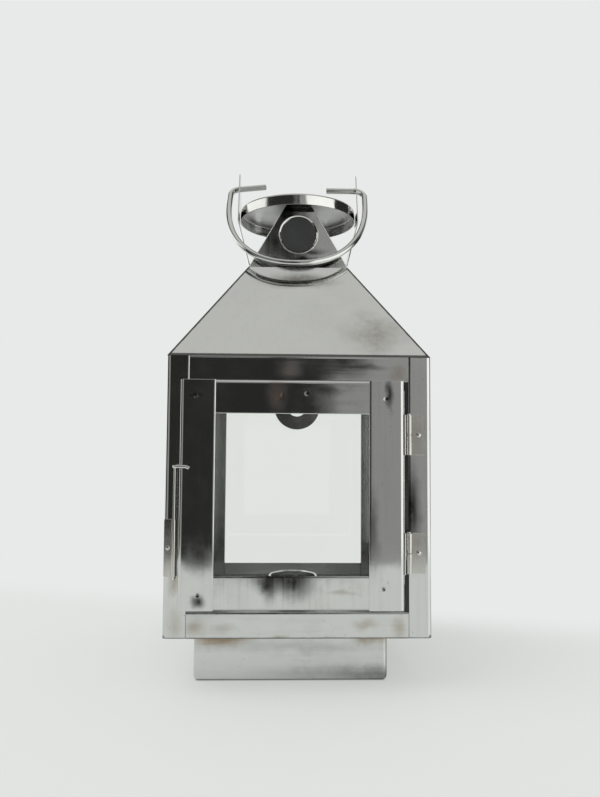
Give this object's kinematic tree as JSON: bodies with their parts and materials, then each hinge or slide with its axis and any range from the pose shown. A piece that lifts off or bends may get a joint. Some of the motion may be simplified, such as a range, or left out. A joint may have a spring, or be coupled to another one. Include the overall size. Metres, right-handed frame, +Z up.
{
  "type": "diwali lantern",
  "caption": "Square candle lantern of polished sheet steel with glass walls, a hinged glass door, a wire latch, a hipped roof, a vented chimney cap and a wire bail.",
  "frame": {"origin": "on the ground, on the foot's flat underside, below the middle of the body", "axes": "+Z up, the door faces -Y, +X to the right of someone facing the door"},
  "size_m": [0.16, 0.1687, 0.3432],
  "materials": {
    "polished_steel": "polished",
    "plated_steel": "plated, lightly worn",
    "dark_metal": "satin",
    "clear_glass": "clear"
  },
  "bodies": {
    "lantern": {"foot": "polished_steel", "floor_pan": "polished_steel", "front_right_post": "polished_steel", "back_right_post": "polished_steel", "back_left_post": "polished_steel", "front_left_post": "polished_steel", "front_bottom_rail": "polished_steel", "front_top_rail": "polished_steel", "right_bottom_rail": "polished_steel", "right_top_rail": "polished_steel", "back_bottom_rail": "polished_steel", "back_top_rail": "polished_steel", "left_bottom_rail": "polished_steel", "left_top_rail": "polished_steel", "right_glass": "clear_glass", "right_channel_a": "polished_steel", "right_channel_b": "polished_steel", "back_glass": "clear_glass", "back_channel_a": "polished_steel", "back_channel_b": "polished_steel", "left_glass": "clear_glass", "left_channel_a": "polished_steel", "left_channel_b": "polished_steel", "candle_cup": "polished_steel", "roof": "polished_steel", "front_petal": "polished_steel", "front_eyelet": "polished_steel", "front_roundel": "dark_metal", "back_petal": "polished_steel", "back_eyelet": "polished_steel", "back_roundel": "dark_metal", "cap": "polished_steel", "right_ear": "polished_steel", "left_ear": "polished_steel", "lower_hinge_post_leaf": "plated_steel", "lower_hinge_pin": "plated_steel", "lower_hinge_post_rivet": "plated_steel", "upper_hinge_post_leaf": "plated_steel", "upper_hinge_pin": "plated_steel", "upper_hinge_post_rivet": "plated_steel", "latch_plate": "plated_steel", "latch_rivet": "plated_steel"},
    "door": {"door_left_stile": "polished_steel", "door_right_stile": "polished_steel", "door_top_rail": "polished_steel", "door_bottom_rail": "polished_steel", "door_left_clip": "polished_steel", "door_right_clip": "polished_steel", "door_glass": "clear_glass", "door_washer": "polished_steel", "lower_hinge_door_leaf": "plated_steel", "lower_hinge_door_rivet": "plated_steel", "upper_hinge_door_leaf": "plated_steel", "upper_hinge_door_rivet": "plated_steel"},
    "latch": {"latch_wire": "polished_steel"},
    "bail": {"bail": "polished_steel"}
  },
  "joints": [
    {"name": "door_hinge", "type": "hinge", "parent": "lantern", "child": "door", "pos_m": [0.066, -0.082, 0.117], "axis": [0, 0, 1], "range_deg": [0, 120]},
    {"name": "latch_pivot", "type": "hinge", "parent": "lantern", "child": "latch", "pos_m": [-0.0736, -0.082, 0.0846], "axis": [0, 0, -1], "range_deg": [0, 95]},
    {"name": "bail_pivot", "type": "hinge", "parent": "lantern", "child": "bail", "pos_m": [0, 0, 0.3319], "axis": [-1, 0, 0], "range_deg": [0, 291]}
  ]
}
